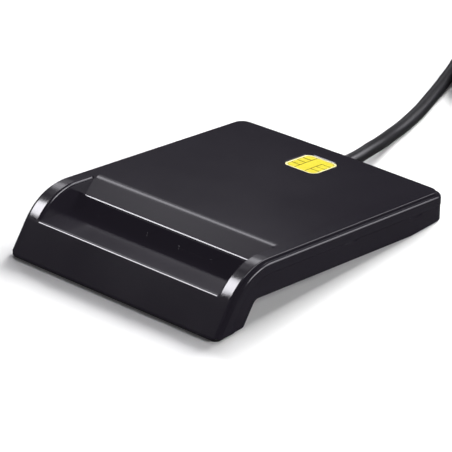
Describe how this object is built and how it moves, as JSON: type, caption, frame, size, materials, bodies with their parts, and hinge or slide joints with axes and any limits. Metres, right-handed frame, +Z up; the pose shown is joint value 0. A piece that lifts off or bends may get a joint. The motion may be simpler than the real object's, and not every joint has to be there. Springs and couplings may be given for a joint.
{
  "type": "smart card reader",
  "caption": "Low desktop contact card reader: bent gloss housing with a wide card mouth in its front wall, sprung contacts inside and a USB cord.",
  "frame": {"origin": "On the table, under the middle of the housing, which rests on its front sole and two rear feet.", "axes": "+X to the reader's right seen from the mouth, +Y from the mouth to the cord, +Z up."},
  "size_m": [0.0989, 0.2155, 0.0149],
  "materials": {
    "upper_gloss": "piano-black gloss, polished mould, mirror-like",
    "lower_gloss": "black gloss, slightly less polished",
    "emblem_gold": "bright yellow-gold satin plate",
    "sole_rubber": "smooth black rubber",
    "foot_rubber": "matt black rubber",
    "screw_steel": "zinc-plated steel",
    "board_laminate": "green solder-masked laminate",
    "board_screw_steel": "nickel-plated steel",
    "connector_plastic": "black glass-filled plastic",
    "contact_alloy": "gold-plated spring alloy",
    "tinned_tail": "tinned copper alloy",
    "chip_resin": "moulded epoxy, fine matt",
    "can_steel": "drawn steel can",
    "ceramic": "tan ceramic",
    "led_lens": "clear-to-milky lens",
    "header_nylon": "natural nylon",
    "wire_vinyl": "coloured vinyl insulation",
    "cord_vinyl": "soft black vinyl, satin",
    "relief_vinyl": "soft black vinyl, satin",
    "tie_fabric": "black woven strap",
    "grip_vinyl": "moulded black vinyl, fine texture",
    "plug_steel": "nickel-plated folded steel",
    "tongue_nylon": "white moulded plastic"
  },
  "bodies": {
    "reader": {"upper_shell": "upper_gloss", "lower_shell": "lower_gloss", "chip_emblem": "emblem_gold", "front_sole": "sole_rubber", "rear_feet": "foot_rubber", "case_screws": "screw_steel", "circuit_board": "board_laminate", "board_screws": "board_screw_steel", "connector_housing": "connector_plastic", "contact_tails": "tinned_tail", "detect_contact": "tinned_tail", "controller_chip": "chip_resin", "crystal": "can_steel", "capacitors": "ceramic", "status_led": "led_lens", "wire_header": "header_nylon", "inner_wires": "wire_vinyl", "cord_jacket_end": "cord_vinyl", "strain_relief": "relief_vinyl", "cable_run": "cord_vinyl", "cable_coil": "cord_vinyl", "cable_tail": "cord_vinyl", "cable_tie": "tie_fabric", "plug_grip": "grip_vinyl", "plug_shell": "plug_steel", "plug_tongue": "tongue_nylon", "plug_contacts": "contact_alloy"},
    "front_contacts": {"contact_row_front": "contact_alloy"},
    "rear_contacts": {"contact_row_rear": "contact_alloy"},
    "card_detector": {"detect_lever": "contact_alloy"}
  },
  "joints": [
    {"name": "front_contacts_flex", "type": "hinge", "parent": "reader", "child": "front_contacts", "pos_m": [0, 0.00443, 0.00715], "axis": [1, 0, 0], "range_deg": [0, 5.8], "stiffness_Nm_per_rad": 0.0002, "springref_deg": -5.73},
    {"name": "rear_contacts_flex", "type": "hinge", "parent": "reader", "child": "rear_contacts", "pos_m": [0, 0.01201, 0.00636], "axis": [1, 0, 0], "range_deg": [0, 5.8], "stiffness_Nm_per_rad": 0.0002, "springref_deg": -5.73},
    {"name": "card_detector_flex", "type": "hinge", "parent": "reader", "child": "card_detector", "pos_m": [-0.01968, 0.02857, 0.00468], "axis": [1, 0, 0], "range_deg": [0, 17], "stiffness_Nm_per_rad": 0.0002, "springref_deg": -5.73}
  ]
}
